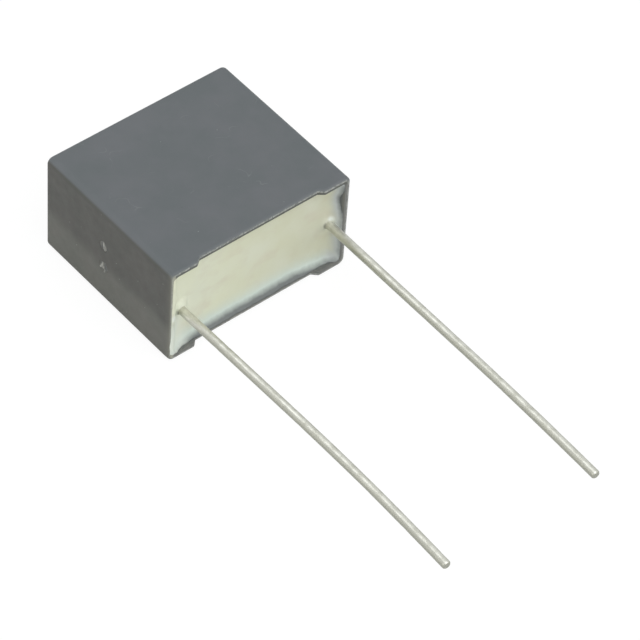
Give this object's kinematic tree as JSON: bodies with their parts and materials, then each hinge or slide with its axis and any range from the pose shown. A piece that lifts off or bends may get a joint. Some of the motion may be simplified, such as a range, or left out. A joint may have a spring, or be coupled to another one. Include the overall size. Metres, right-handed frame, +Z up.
{
  "type": "box film capacitor",
  "caption": "Film capacitor: wound film in an open-ended plastic box with corner feet, potted with resin, with long round leads.",
  "frame": {"origin": "centre of the broad face that the case lies on, on the surface that it rests on", "axes": "+X along the pitch of the leads, -Y along the leads away from the case, +Z up through the case's thickness"},
  "size_m": [0.0178, 0.0467, 0.0098],
  "materials": {
    "case": "satin",
    "resin": "satin",
    "film": "gloss",
    "cover": "gloss",
    "spray": "matte",
    "wire": "satin"
  },
  "bodies": {
    "root": {"case": "case", "resin_fill": "resin", "film_winding": "film", "cover_wrap": "cover", "end_spray_left": "spray", "end_spray_right": "spray", "lead_left": "wire", "lead_right": "wire"}
  },
  "joints": []
}
